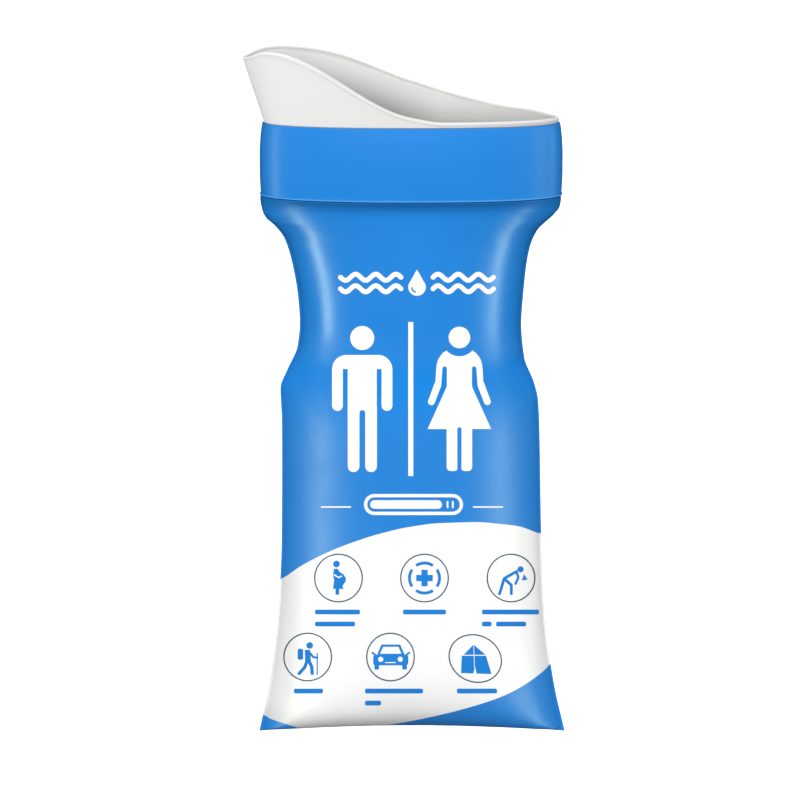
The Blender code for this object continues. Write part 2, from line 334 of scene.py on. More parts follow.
# Heights between which the bag's looks change: (start, end), and a factor or a part where needed.
# The blue film's gloss is duller just under the band, and where the waist widens into the body.
BLUE_GLOSS_STEPS = [
    (44 * MM, 50 * MM, -0.6), (-3 * MM, -16 * MM, -0.85), (-19 * MM, -44 * MM, 0.82),
]
SLACK_HEIGHTS = (5 * MM, -17 * MM)
# Painted shade towards the bottom weld: full tone at the first height, darkest at the second.
BOTTOM_SHADE_HEIGHTS = (BAG_LOW + 16 * MM, BAG_LOW + 3 * MM)
# Painted shade just under the band: full tone at the first height, darkest at the second.
UNDER_BAND_SHADE_HEIGHTS = (COLLAR_LOW - 7 * MM, COLLAR_LOW - 0.5 * MM)
# The same across the bag, for painted shade that darkens the film along its sides.
SIDE_SHADES = [(-42 * MM, -50 * MM, 0.89), (48 * MM, 53 * MM, 0.90)]
# Painted shade down the funnel's throat: full tone at the first height, darkest at the second.
THROAT_SHADE_HEIGHTS = (COLLAR_TOP + 12.5 * MM, COLLAR_TOP - 7.5 * MM)
THROAT_SHADE_LEAN = 0.36


def film_material(name, colour, roughness, gloss=0.5, slack=0.0, weld=1.0, under_band_shade=1.0):
    """Printed polyethylene film: slight ink mottling, soft waviness and a fine grain.

    The slack film below the waist is rougher by slack. A weld factor below 1 is the tone of a painted
    shade towards the bottom weld, and such a film gets painted shade along its sides too. The last
    factor, below 1, is the tone of a painted shade just under the band, and such a film's gloss varies
    with height.
    """
    made = Material(name, roughness, IOR=FILM_IOR, Specular_IOR_Level=gloss)
    tone = made.ramp(made.noise(40.0), shade(colour, 0.985), shade(colour, 1.01))
    # Painted shade: the film darkens along its sides and towards the bottom weld.
    if weld < 1.0:
        for near, far, factor in SIDE_SHADES:
            side = made.share(made.coordinate("X"), near, far)
            tone = made.fade(tone, shade(colour, factor), side)
        tone = made.fade(tone, shade(colour, weld), made.height_share(*BOTTOM_SHADE_HEIGHTS))
    # Painted shade just under the band.
    if under_band_shade < 1.0:
        tone = made.fade(tone, shade(colour, under_band_shade), made.height_share(*UNDER_BAND_SHADE_HEIGHTS))
        made.gloss(gloss, BLUE_GLOSS_STEPS)
    sheen = made.spread(made.noise(90.0), roughness - 0.02, roughness + 0.02)
    if slack > 0.0:
        sheen = made.add(sheen, made.height_share(*SLACK_HEIGHTS), slack)
    waves = (made.noise(45.0, stretch=(1.0, 1.0, 0.55)), 0.0005, 0.22)
    return made.finish(tone, sheen, waves, (made.noise(GRAIN_SCALE), 0.00001, 0.15))


def ink_material(name, colour, roughness=0.55):
    """Ink laid on the film: a little uneven in tone, and a little matt."""
    made = Material(name, roughness, IOR=FILM_IOR, Specular_IOR_Level=0.25)
    tone = made.ramp(made.noise(700.0), shade(colour, 0.96), colour)
    sheen = made.spread(made.noise(300.0), roughness - 0.04, roughness + 0.04)
    return made.finish(tone, sheen, (made.noise(GRAIN_SCALE), 0.00002, 0.2))


def moulded_material(name, colour, roughness, throat_shade=None):
    """Moulded polyethylene with flow marks and a satin grain; its last argument is a painted shade's
    tone down the throat.
    """
    made = Material(name, roughness, IOR=1.5, Specular_IOR_Level=0.25)
    flow = made.noise(26.0, 3.0, stretch=(1.0, 1.0, 2.2))
    tone = made.ramp(flow, shade(colour, 0.985), colour)
    # Painted shade: darker down the throat.
    if throat_shade is not None:
        tone = made.fade(tone, throat_shade, made.height_share(*THROAT_SHADE_HEIGHTS, THROAT_SHADE_LEAN))
    sheen = made.spread(made.noise(140.0, 3.0), roughness - 0.05, roughness + 0.05)
    grain = (made.noise(1900.0, 3.0), 0.00004, 0.35)
    return made.finish(tone, sheen, (flow, 0.0004, 0.10), grain)


def valve_material():
    """Thin clear film, slightly milky."""
    made = Material("valve film", 0.22, IOR=FILM_IOR, Alpha=0.7)
    haze = made.noise(90.0, 3.0)
    tone = made.ramp(haze, (0.88, 0.91, 0.92), (0.95, 0.965, 0.97))
    ripples = made.noise(70.0, stretch=(1.0, 1.0, 0.4))
    return made.finish(tone, made.spread(haze, 0.16, 0.30), (ripples, 0.0006, 0.45))


def nonwoven_material():
    """Spunbond sheet: matt, with short crossing fibres and small bond points."""
    made = Material("nonwoven sheet", 0.85, IOR=1.45, Sheen_Weight=0.2)
    fibres = made.noise(900.0, 5.0, 0.7, (1.0, 1.0, 0.25))
    tone = made.ramp(fibres, (0.76, 0.76, 0.74), (0.90, 0.90, 0.89))
    bonds = (made.cells(520.0), 0.00025, 0.5)
    return made.finish(tone, made.spread(fibres, 0.78, 0.92), bonds, (fibres, 0.0002, 0.6))


def pad_material():
    """Fibre pad with grains of absorbent."""
    made = Material("absorbent pad", 0.95, IOR=1.45)
    grains = made.cells(900.0)
    tone = made.ramp(grains, (0.84, 0.82, 0.75), (0.66, 0.64, 0.58), (0.0, 0.6))
    sheen = made.spread(made.noise(500.0, 4.0), 0.88, 0.98)
    return made.finish(tone, sheen, (grains, 0.0004, 0.6))


# Bag film ------------------------------------------

# Outline of the bag: height and distance from the middle plane, in millimetres.
LEFT_EDGE = curve([
    (-167.5, 61.7), (-147.0, 57.6), (-117.0, 53.7), (-87.0, 52.1), (-40.0, 51.7), (-25.5, 52.2),
    (-18.0, 49.4), (-8.5, 45.3), (1.0, 44.3), (11.0, 44.9), (25.0, 47.2), (35.0, 50.3),
    (40.5, 54.6), (42.8, 57.3), (46.0, 58.9), (51.0, 59.7), (52.2, 59.5), (52.45, 57.6), (80.0, 57.5),
])
RIGHT_EDGE = curve([
    (-167.5, 62.7), (-147.0, 58.1), (-120.0, 54.3), (-87.0, 52.6), (-40.0, 51.4), (-30.0, 50.8),
    (-23.0, 49.1), (-13.0, 45.2), (1.0, 43.9), (11.0, 44.5), (25.0, 45.9), (32.0, 47.3),
    (38.0, 50.0), (44.5, 56.6), (47.5, 58.8), (51.0, 59.3), (52.2, 59.1), (52.45, 57.6), (80.0, 57.5),
])
# The outline's bends fade over this height towards the middle of a sheet.
OUTLINE_BLUR = 9.0 * MM
# Half depth of the filled bag by height, in millimetres, above its rounded lower end.
DEPTH = curve([
    (-105.0, 29.9), (-40.0, 29.3), (-12.0, 27.2), (0.0, 26.7), (42.0, 26.45), (46.0, 26.6),
    (48.5, 26.95), (50.0, 27.6), (51.3, 28.6), (52.2, 29.4), (52.45, 27.3), (80.0, 27.2),
])
DEPTH_FULL = -105.0 * MM
BOTTOM_POWER = 4.4  # squareness of the lower end's rounding
BOTTOM_WELD = 1.0 * MM
BOTTOM_BOW = 2.6 * MM
SIDE_WELD = 0.8 * MM
EAR_WIDTH = 0.6 * MM
EAR_HEIGHT = 50.0 * MM
FILM = 0.15 * MM
WELD_GAP = 0.02 * MM

# Borders of the printed white field: place across and height, in millimetres.
UPPER_BORDER = curve([
    (-53.5, -105.0), (-42.7, -94.6), (-26.5, -84.5), (-10.7, -78.2), (0.0, -75.6), (11.3, -74.4),
    (24.0, -74.8), (37.2, -77.4), (43.4, -79.4), (53.5, -86.0),
])
LOWER_BORDER = curve([
    (-61.5, -160.9), (-53.7, -161.1), (-49.0, -161.8), (-39.5, -165.2), (-30.0, -165.9),
    (-19.1, -164.3), (0.0, -158.2), (20.0, -152.1), (40.0, -146.3), (57.5, -139.2),
])
WELD_TOP = BAG_LOW + BOTTOM_WELD
ARC_STEPS = 112
WELD_STEPS = 3
MITRE = 3.0  # how sharply the side's and the bottom's rounding meet at a corner
THINNEST = 1e-4  # least share of the full depth
# Heights between which the bag's form changes: towards the mouth's oval, and to the exact
# outline under the band.
OVAL_HEIGHTS = (34 * MM, 50 * MM)
SHARP_HEIGHTS = (COLLAR_LOW - 9 * MM, COLLAR_LOW - 0.6 * MM)
# The same downwards from the waist: to a fuller lens, and to the exact outline of the lower end.
LENS_DEPTHS = (6 * MM, 30 * MM)
END_DEPTHS = (115 * MM, 150 * MM)
LENS_POWER = 1.02
LENS_GAIN = 0.38
EDGE_POWER = 6  # how close to its edge a sheet follows the exact outline
WELD_LOSS = 0.8  # share of the side weld that is hidden in the mouth
RELIEF_EDGE = 2.5  # how soon the relief fades in from the edge
# Rows above the white field: their heights in millimetres, and the number of rows between them.
ROW_HEIGHTS_MM = (-20.0, 34.0, 49.0, 52.0, 52.6, BAG_TOP / MM)
ROW_COUNTS = (46, 26, 12, 5, 4)
LEAST_ROW = 0.3 * MM


def blurred(edge):
    """The same outline with its bends softened, by height."""
    at = np.arange(BAG_LOW - 4 * OUTLINE_BLUR, BAG_TOP, 0.5 * MM)
    reach = np.arange(-3 * OUTLINE_BLUR, 3 * OUTLINE_BLUR, 0.5 * MM)
    weight = np.exp(-0.5 * (reach / OUTLINE_BLUR) ** 2)
    near = np.clip(at[:, None] + reach[None, :], BAG_LOW, COLLAR_LOW - 1 * MM)
    value = (edge(near) * weight).sum(axis=1) / weight.sum()
    return lambda place: np.interp(place, at, value)


SOFT_LEFT = blurred(LEFT_EDGE)
SOFT_RIGHT = blurred(RIGHT_EDGE)


def half_depth(z, rise):
    """Half depth of the filled bag: the lesser of its rounding to the side and to the bottom weld."""
    u = np.clip((DEPTH_FULL - z) / (DEPTH_FULL - WELD_TOP), 0, 1)
    bottom = np.clip((1 - u**BOTTOM_POWER) ** 0.5, THINNEST, None)
    side = np.clip(rise, THINNEST, None)
    both = (bottom**-MITRE + side**-MITRE - 1) ** (-1 / MITRE)
    return DEPTH(z) * both * (rise > 0) * (u < 1)


def film_columns():
    """Angle, weld share and hand of each column of a sheet, from -X to +X."""
    half_turn = np.pi * (1 - np.arange(ARC_STEPS + 1) / ARC_STEPS)
    weld = np.arange(WELD_STEPS, 0, -1) / WELD_STEPS
    angle = np.concatenate([np.full(WELD_STEPS, np.pi), half_turn, np.zeros(WELD_STEPS)])
    share = np.concatenate([weld, np.zeros(ARC_STEPS + 1), weld[::-1]])
    return angle, share, np.where(angle > np.pi / 2, -1.0, 1.0)


def wave(x, z, size, seed):
    """Smooth noise of about one unit over the sheet, with hills of a given size."""
    flat = np.stack([np.ravel(x) / size, np.ravel(z) / size], axis=1)
    values = [noise.noise(Vector((p[0], p[1], seed))) for p in flat]
    return np.array(values).reshape(np.shape(x))


SLACK_WAVE = 0.25 * MM
SLACK_SIZE = 34 * MM
PUCKER = 0.10 * MM
PUCKER_PITCH = 1.75 * MM
PUCKER_REACH = 6 * MM
RIDGE = 1.8 * MM
RIDGE_FOOT = 4.5 * MM
# Soft creases: place, direction in degrees, reach and height in millimetres.
CREASES = [
    (-44.0, -30.0, -52.0, 9.0, 0.28), (44.0, -31.0, 228.0, 9.0, 0.24),
    (-42.0, -38.0, -66.0, 8.0, 0.16), (45.0, 37.0, 140.0, 7.0, 0.20),
    (-48.0, -148.0, 62.0, 9.0, 0.08), (49.0, -147.0, 118.0, 10.0, 0.10),
    (-36.0, -155.0, 80.0, 6.0, 0.14), (34.0, -155.0, 98.0, 6.0, 0.12),
]


def film_relief(x, z, side):
    """How far the filled film stands off its smooth form: slack waves, puckers and small creases."""
    seed = 3.7 if side < 0 else 11.3
    relief = SLACK_WAVE * wave(x, z, SLACK_SIZE, seed)
    above = np.clip(z - WELD_TOP, 0, None)
    pucker = np.cos(x / PUCKER_PITCH + 3.0 * wave(x, 0 * z, 30 * MM, seed + 5))
    relief += PUCKER * pucker * np.exp(-above / PUCKER_REACH) * blend_share(above, 0, 2 * MM)
    for cx, cz, angle, reach, depth in CREASES:
        c, s = math.cos(math.radians(angle)), math.sin(math.radians(angle))
        along = (x - cx * MM) * c + (z - cz * MM) * s
        across = -(x - cx * MM) * s + (z - cz * MM) * c
        ridge = np.exp(-((across / RIDGE) ** 2)) - 0.55 * np.exp(-((across / RIDGE_FOOT) ** 2))
        relief += depth * MM * ridge * np.exp(-((along / (reach * MM)) ** 2))
    return relief


def film_place(z, side, relief=True):
    """Outer surface of a sheet; z holds the heights row by row for every column."""
    angle, share, hand = film_columns()
    edge = np.where(hand < 0, LEFT_EDGE(z), RIGHT_EDGE(z))
    soft = np.where(hand < 0, SOFT_LEFT(z), SOFT_RIGHT(z))
    ear = np.clip(1 - (z - BAG_LOW) / EAR_HEIGHT, 0, 1) ** 2
    oval_share = blend_share(z, *OVAL_HEIGHTS)
    weld = SIDE_WELD * (1 - WELD_LOSS * oval_share) + EAR_WIDTH * ear
    across = 1 + (2 / OVAL_POWER - 1) * oval_share
    lens = LENS_POWER + LENS_GAIN * blend_share(-z, *LENS_DEPTHS)
    pinch = lens * (1 - oval_share) + 2 / OVAL_POWER * oval_share
    run = np.abs(np.cos(angle)) ** across
    rise = np.clip(np.sin(angle), 0, 1) ** pinch
    under_band = blend_share(z, *SHARP_HEIGHTS)
    keep = run**EDGE_POWER * (1 - under_band) + under_band
    low_end = blend_share(-z, *END_DEPTHS)
    bend = (edge * keep + soft * (1 - keep)) * (1 - low_end) + edge * low_end
    x = hand * (run * (bend - weld) + weld * share)
    depth = half_depth(z, rise)
    if relief:
        inside = np.clip(RELIEF_EDGE * rise, 0, 1) * (1 - oval_share)
        depth = np.maximum(depth + film_relief(x, z, side) * inside, 0)
    fade = 1 - blend_share(z, BAG_LOW, BAG_LOW + EAR_HEIGHT)
    lift = BOTTOM_BOW * fade * (1 - (x / edge) ** 2)
    return x, side * (depth + WELD_GAP + FILM), z + lift


def border_height(border, side):
    """Height of a border at each column, before the bottom edge's bow."""
    z = np.full(len(film_columns()[0]), border(0.0))
    for _ in range(12):
        x, _, shown = film_place(z[None, :], side, relief=False)
        z = z + (border(x[0]) - shown[0])
    return z


def spaced(bottom, top, steps):
    """Heights in equal steps from one height to just under a second one."""
    return [bottom + (top - bottom) * k / steps for k in range(steps)]


def film_heights(side):
    """Heights of every row and column, and the rows where each band of the print starts."""
    low = np.full(len(film_columns()[0]), BAG_LOW)
    weld_top = np.full(len(low), WELD_TOP)
    lower = np.clip(border_height(LOWER_BORDER, side), BAG_LOW + LEAST_ROW, None)
    first = np.minimum(lower, weld_top)
    second = np.maximum(lower, weld_top + LEAST_ROW)
    upper = border_height(UPPER_BORDER, side)
    level = np.full(len(low), ROW_HEIGHTS_MM[0] * MM)
    rows, starts = [], []
    for bottom, top, steps in (
        (low, first, 6), (first, second, 26), (second, upper, 96), (upper, level, 56)
    ):
        starts.append(len(rows))
        rows += spaced(bottom, top, steps)
    for bottom, top, steps in zip(ROW_HEIGHTS_MM, ROW_HEIGHTS_MM[1:], ROW_COUNTS):
        rows += [np.full(len(low), height * MM) for height in spaced(bottom, top, steps)]
    rows.append(np.full(len(low), BAG_TOP))
    return np.array(rows), starts, lower > weld_top


def build_film(name, side, blue, white, inside):
    """One printed sheet, its rows running along the borders of the white field."""
    z, starts, blue_middle = film_heights(side)
    x, y, shown = film_place(z, side)
    rows, columns = z.shape
    places = np.stack([x, y, shown], axis=2)
    thin = (z[starts[1]] - z[0]) < 0.5 * MM
    slots = []
    for r in range(rows - 1):
        for c in range(columns - 1):
            in_white = (
                starts[2] <= r < starts[3]
                or (starts[1] <= r < starts[2] and not blue_middle[c])
                or (r < starts[1] and thin[c] and thin[c + 1])
            )
            slots.append(int(in_white))
    faces = grid_faces(rows, columns, side < 0)
    piece = add_mesh(name, places.reshape(-1, 3), faces, [blue, white, inside], slots)
    thicken(piece, FILM, inner_slot=2)
    return piece


# Collar band and funnel ----------------------------


def round_angles(count):
    return 2 * np.pi * np.arange(count) / count


def skirt_ring(angles, offset, z):
    """Ring at a distance outside the skirt's outer face."""
    x, y = oval(angles, OVAL_X + offset, OVAL_Y + offset)
    return np.stack([x, y, np.broadcast_to(z, x.shape)], axis=1)


# Outer face of the band: height share and distance from the skirt, in millimetres.
BAND_PROFILE_MM = [
    (0.0, 2.55), (0.004, 2.82), (0.012, 2.90), (0.020, 2.80), (0.030, 2.58), (0.040, 2.56),
    (0.10, 2.64), (0.30, 2.86), (0.55, 2.86), (0.80, 2.50), (0.93, 2.05), (0.985, 1.80),
    (0.997, 1.64), (1.0, 1.40),
]
BAND_SEGMENTS = 216
# Height shares of the band's rows, close together at its hem and at its upper edge.
BAND_ROWS = ((0.0, 0.05, 14), (0.07, 0.9, 26), (0.92, 1.0, 14))
BAND_INSIDE = 1.0 * MM
HEM_LINE = (0.003, 0.017)  # height shares of the hem's fold, whose paler blue is a painted highlight


def build_band(blue, hem_highlight):
    """Crowned blue collar band with a fine hem, which carries a painted highlight: a paler blue line.
    """
    angles = round_angles(BAND_SEGMENTS)
    shares = np.concatenate([np.linspace(*rows) for rows in BAND_ROWS])
    levels = COLLAR_LOW + (COLLAR_TOP - COLLAR_LOW) * shares
    at, value = smooth_table([(share * 100, out) for share, out in BAND_PROFILE_MM], 0.1)
    outs = np.interp(shares * 100 * MM, at, value)
    rings = [skirt_ring(angles, BAND_INSIDE, COLLAR_LOW)]
    rings += [skirt_ring(angles, out, z) for z, out in zip(levels, outs)]
    rings.append(skirt_ring(angles, BAND_INSIDE, COLLAR_TOP))
    in_hem = [k for k, share in enumerate(shares, start=1) if HEM_LINE[0] <= share <= HEM_LINE[1]]
    piece = tube_mesh("collar_cuff", rings, [blue, hem_highlight], second=in_hem)
    settle(piece, "collar_band", "pouch")
    return piece


# Rise of the rim over its lowest line at the front and at the back, and where along X each
# falls: the start and the length of a cosine wave.
RIM_LOW = 2.3 * MM
FRONT_RISE = 27.6 * MM
FRONT_FALL = (-52.3 * MM, 63 * MM)
BACK_RISE = 27.0 * MM
BACK_FALL = (-55 * MM, 100 * MM)
# The back is fuller between its ends, and dips a little in the middle.
BACK_SWELL = 1.7 * MM
SWELL_START = (-50 * MM, -20 * MM)
SWELL_END = (42 * MM, 58 * MM)
BACK_DIP = 1.1 * MM
DIP_MIDDLE = 5 * MM
DIP_REACH = 13 * MM
# The tip curls down from the line of the rim.
FRONT_TIP_DROP = 4.4 * MM
BACK_TIP_DROP = 2.5 * MM
FLARE = 0.24  # outward lean of the wall at -X
TIP_FLARE = 0.09  # what the very tip leans more
BEAD = 0.95 * MM
BACK_BEAD_LOSS = 0.22
TIP_BEAD_LOSS = 0.25
BEAD_TURNS = (-40, 220, 19)  # first and last angle round the bead in degrees, and their number
FUNNEL_SEGMENTS = 240
FUNNEL_ROWS = 15
FUNNEL_WALL = 1.3 * MM
WALL_LOW = COLLAR_TOP + 0.3 * MM
THROAT_EDGE = COLLAR_TOP - 3.0 * MM
SHOULDER = 1.1 * MM
EDGE_ROUND = 0.3 * MM


def cosine_fall(x, start, length):
    """1 up to start, 0 after length, along half a cosine wave."""
    return 0.5 + 0.5 * np.cos(np.pi * np.clip((x - start) / length, 0, 1))


def back_part(angles):
    """0 round the front of the mouth, 1 round its back, and a smooth turn between them."""
    return 0.5 + 0.5 * np.tanh(3 * np.sin(angles))


def left_part(angles, power):
    """1 at the tip, at -X, falling to 0 on the right half of the mouth."""
    return np.clip(-np.cos(angles), 0, 1) ** power


def rim_height(angles):
    """Height of the rim above the collar: high at -X, low at +X, and lower on the front side."""
    x = np.cos(angles) * OVAL_X
    front = FRONT_RISE * cosine_fall(x, *FRONT_FALL)
    back = BACK_RISE * cosine_fall(x, *BACK_FALL)
    back = back + BACK_SWELL * (blend_share(x, *SWELL_START) - blend_share(x, *SWELL_END))
    back = back - BACK_DIP * np.exp(-(((x - DIP_MIDDLE) / DIP_REACH) ** 2))
    share = back_part(angles)
    drop = FRONT_TIP_DROP * (1 - share) + BACK_TIP_DROP * share
    return RIM_LOW + front * (1 - share) + back * share - drop * left_part(angles, 12)


def bead_size(angles):
    """The rim's bead is finer along the back, and thins out towards the raised tip."""
    back = 1 - BACK_BEAD_LOSS * back_part(angles)
    return BEAD * back * (1 - TIP_BEAD_LOSS * left_part(angles, 6))


def funnel_ring(angles, share, offset, lift):
    """Ring of the upper wall, from the shoulder (share 0) to the bead's centre (share 1)."""
    rise = (COLLAR_TOP + rim_height(angles) - BEAD - WALL_LOW) * share
    lean = FLARE * (0.5 - 0.5 * np.cos(angles)) ** 1.5 + TIP_FLARE * left_part(angles, 60)
    out = SHOULDER + lean * rise + offset
    x, y = oval(angles, OVAL_X + out, OVAL_Y + out)
    return np.stack([x, y, WALL_LOW + rise + lift], axis=1)


def build_funnel(white, inside):
    """Funnel with a rounded rim bead, a shoulder over the bag's edge and a smooth throat."""
    angles = round_angles(FUNNEL_SEGMENTS)
    wall = np.linspace(0, 1, FUNNEL_ROWS, endpoint=False)
    rings = [skirt_ring(angles, -EDGE_ROUND, SKIRT_LOW)]
    rings.append(skirt_ring(angles, 0.0, SKIRT_LOW + 0.4 * MM))
    rings += [skirt_ring(angles, 0.0, z) for z in np.linspace(SKIRT_LOW + 1 * MM, WALL_LOW, 4)]
    rings.append(funnel_ring(angles, 0.0, -EDGE_ROUND, 0.0))
    rings += [funnel_ring(angles, share, 0.0, 0.0) for share in wall]
    bead = bead_size(angles)
    for turn in np.radians(np.linspace(*BEAD_TURNS)):
        out = bead * math.cos(turn) - FUNNEL_WALL / 2
        rings.append(funnel_ring(angles, 1.0, out, bead * math.sin(turn)))
    inner = len(rings)
    rings += [funnel_ring(angles, share, -FUNNEL_WALL, 0.0) for share in wall[::-1]]
    rings += [skirt_ring(angles, -FUNNEL_WALL, z) for z in np.linspace(THROAT_EDGE, SKIRT_LOW, 6)]
    piece = tube_mesh("funnel_mouth", rings, [white, inside], 50, range(inner, len(rings)))
    settle(piece, "mouth_funnel", "pouch")
    return piece


# Print ---------------------------------------------

# The artwork is drawn in millimetres on a plane square to the camera: across from the pouch's
# centre line, and up from the camera's target.
INK_UP = 0.06 * MM
INK_DOWN = 0.04 * MM
INK_STEP = 0.8
WOMAN_X = 19.35
HEADING_AT = (2.4, 46.8)
WAVE_START = 6.4
WAVE_LENGTH = 24.2
WAVE_STEPS = 48
WAVE_RATE = 0.779  # radians for each millimetre
WAVE_HEIGHT = 1.25
WAVE_LEVELS = (2.3, -2.3)
GAUGE = (-18.8, 20.8, -46.0, -37.6)
GAUGE_RADIUS = 4.2
GAUGE_LINE = 1.3


def arc(cx, cz, radius, start, end, steps=None):
    """Points along an arc, in degrees."""
    steps = steps or max(3, int(abs(math.radians(end - start)) * radius / 0.5))
    turns = [math.radians(start + (end - start) * k / steps) for k in range(steps + 1)]
    return [(cx + radius * math.cos(t), cz + radius * math.sin(t)) for t in turns]


def disc(cx, cz, radius):
    return arc(cx, cz, radius, 0, 360, max(20, int(radius * 12)))[:-1]


def box(x0, x1, z0, z1, radius=0.0):
    """Rectangle, with its corners rounded if it has a radius."""
    if not radius:
        return [(x0, z0), (x1, z0), (x1, z1), (x0, z1)]
    points = arc(x1 - radius, z0 + radius, radius, -90, 0)
    points += arc(x1 - radius, z1 - radius, radius, 0, 90)
    points += arc(x0 + radius, z1 - radius, radius, 90, 180)
    return points + arc(x0 + radius, z0 + radius, radius, 180, 270)


def stroke(points, width):
    """Line of a given width with round ends and joints, as one outline for each stretch."""
    outlines = []
    for (x0, z0), (x1, z1) in zip(points, points[1:]):
        heading = math.degrees(math.atan2(z1 - z0, x1 - x0))
        outline = arc(x1, z1, width / 2, heading - 90, heading + 90, 12)
        outlines.append(outline + arc(x0, z0, width / 2, heading + 90, heading + 270, 12))
    return outlines


def tilted_disc(cx, cz, long, short, heading):
    """Oval whose longer half axis points in a heading, in degrees."""
    c, s = math.cos(math.radians(heading)), math.sin(math.radians(heading))
    unit = arc(0.0, 0.0, 1.0, 0, 360, 120)[:-1]
    spread = [(a * long, b * short) for a, b in unit]
    return [(cx + a * c - b * s, cz + a * s + b * c) for a, b in spread]


def band(cx, cz, outer, inner, start, end):
    """Curved bar between two radii."""
    return arc(cx, cz, outer, start, end, 16) + arc(cx, cz, inner, end, start, 16)


def moved(outlines, dx, dz):
    return [[(x + dx, z + dz) for x, z in outline] for outline in outlines]


def filled(*outlines):
    """Figure of (solids, holes) that has no holes."""
    return list(outlines), []


def refined(outline):
    """Outline with points no further apart than the ink step, counterclockwise."""
    points = []
    for (x0, z0), (x1, z1) in zip(outline, outline[1:] + outline[:1]):
        count = max(1, math.ceil(math.hypot(x1 - x0, z1 - z0) / INK_STEP))
        points += [(x0 + (x1 - x0) * k / count, z0 + (z1 - z0) * k / count) for k in range(count)]
    area = sum(a[0] * b[1] - b[0] * a[1] for a, b in zip(points, points[1:] + points[:1]))
    return points if area > 0 else points[::-1]


def inner_points(outlines):
    """Grid of points over a figure that keep clear of its outlines."""
    edge = np.array([p for outline in outlines for p in outline])
    low, high = edge.min(axis=0), edge.max(axis=0)
    xs = np.arange(low[0] + INK_STEP / 2, high[0], INK_STEP)
    zs = np.arange(low[1] + INK_STEP / 2, high[1], INK_STEP)
    grid = np.stack(np.meshgrid(xs, zs), axis=2).reshape(-1, 2)
    gap = np.linalg.norm(grid[:, None, :] - edge[None, :, :], axis=2).min(axis=1)
    return [tuple(p) for p in grid[gap > 0.6 * INK_STEP]]


def flat_triangles(solids, holes):
    """Triangles of the union of solid outlines, less the holes."""
    outlines = [refined(outline) for outline in solids + holes]
    points, faces = [], []
    for outline in outlines:
        faces.append(list(range(len(points), len(points) + len(outline))))
        points += outline
    points += inner_points(outlines)
    flat = [Vector(p) for p in points]
    verts, _, cells, _, _, owners = delaunay_2d_cdt(flat, [], faces, 0, 1e-5)
    kept = [
        cell for cell, owner in zip(cells, owners)
        if owner and all(k < len(solids) for k in owner)
    ]
    return verts, kept


def film_finder(piece):
    """Function that gives where a drawn point meets the film, and the film's normal there."""
    mesh = piece.data
    mesh.calc_loop_triangles()
    corners = [tuple(t.vertices) for t in mesh.loop_triangles]
    tree = BVHTree.FromPolygons([v.co for v in mesh.vertices], corners)
    origin = Vector((0.0, 0.0, CAMERA_TARGET.z))

    def find(point):
        drawn = origin + Vector((point[0] * MM, 0.0, 0.0)) + CAMERA_UP * (point[1] * MM)
        return tree.ray_cast(CAMERA_PLACE, (drawn - CAMERA_PLACE).normalized())[:2]

    return find


def lay_print(name, find, figures, material):
    """Thin closed skins of ink on the film, one for each (solids, holes) figure."""
    verts, faces = [], []
    for solids, holes in figures:
        flat, cells = flat_triangles(solids, holes)
        used = sorted({k for cell in cells for k in cell})
        index = {k: i for i, k in enumerate(used)}
        start, count = len(verts), len(used)
        placed = [find(flat[k]) for k in used]
        verts += [hit + normal * INK_UP for hit, normal in placed]
        verts += [hit - normal * INK_DOWN for hit, normal in placed]
        edges = set()
        for cell in cells:
            a, b, c = (start + index[k] for k in cell)
            faces += [(a, b, c), (c + count, b + count, a + count)]
            edges |= {(a, b), (b, c), (c, a)}
        faces += [(b, a, a + count, b + count) for a, b in edges if (b, a) not in edges]
    piece = add_mesh(name, verts, faces, [material], degrees=35)
    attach(piece, "pouch")
    return piece


def man_figure():
    """Head, shoulders, trunk and limbs; the gap between the legs is a hole."""
    shoulders = arc(-25.9, 12.4, 5.6, 180, 90) + arc(-13.1, 12.4, 5.6, 90, 0)
    solids = [disc(-19.5, 24.8, 4.8), shoulders, box(-25.3, -13.7, -8.0, 12.6)]
    arms = [(-29.4, 12.4, -2.2, 4.3), (-9.6, 12.4, -2.2, 4.3)]
    legs = [(-22.95, -3.0, -26.5, 4.65), (-15.95, -3.0, -26.5, 4.65)]
    for x, top, low, width in arms + legs:
        solids += stroke([(x, top), (x, low)], width)
    return solids, stroke([(-19.45, -5.2), (-19.45, -40.0)], 2.35)


def woman_figure():
    """Body with its holes, and head; the neck is a gap round the head."""
    side = [(5.2, 19.8), (6.5, 18.9), (7.7, 17.5), (8.6, 15.9), (9.1, 14.0), (9.35, 11.0), (9.5, 7.7)]
    side += arc(11.2, -0.7, 1.35, 22, -155)
    side += [(7.3, 5.7), (6.8, 12.6)] + arc(5.9, 12.6, 0.9, 0, 180)
    side += [(5.0, 5.6), (5.2, 4.9), (12.7, -11.6)]
    legs = [box(-5.1, -0.5, -28.4, -8.0, 1.6), box(0.5, 5.1, -28.4, -8.0, 1.6)]
    solids = [side + [(-x, z) for x, z in side[::-1]]] + legs
    holes = [disc(0.0, 24.55, 7.05)] + stroke([(0.0, -11.7), (0.0, -40.0)], 1.7)
    return [moved(part, WOMAN_X, 0.0) for part in (solids, holes, [disc(0.0, 25.0, 4.3)])]


def drop_and_waves():
    """Generic heading: a drop between two pairs of water lines."""
    drop = [(0.0, 5.4), (-1.3, 3.1), (-2.6, 0.7)]
    drop += arc(0.0, -1.6, 3.5, 150, 390, 24) + [(2.6, 0.7), (1.3, 3.1)]
    figures = [([drop], stroke(arc(0.0, -1.6, 2.1, 190, 250, 6), 0.7))]
    steps = [WAVE_LENGTH * k / WAVE_STEPS for k in range(WAVE_STEPS + 1)]
    for hand in (-1.0, 1.0):
        for level in WAVE_LEVELS:
            heights = [level + WAVE_HEIGHT * math.sin(t * WAVE_RATE) for t in steps]
            line = [(hand * (WAVE_START + t), height) for t, height in zip(steps, heights)]
            figures.append(filled(*stroke(line, 1.9)))
    return [(moved(solids, *HEADING_AT), moved(holes, *HEADING_AT)) for solids, holes in figures]


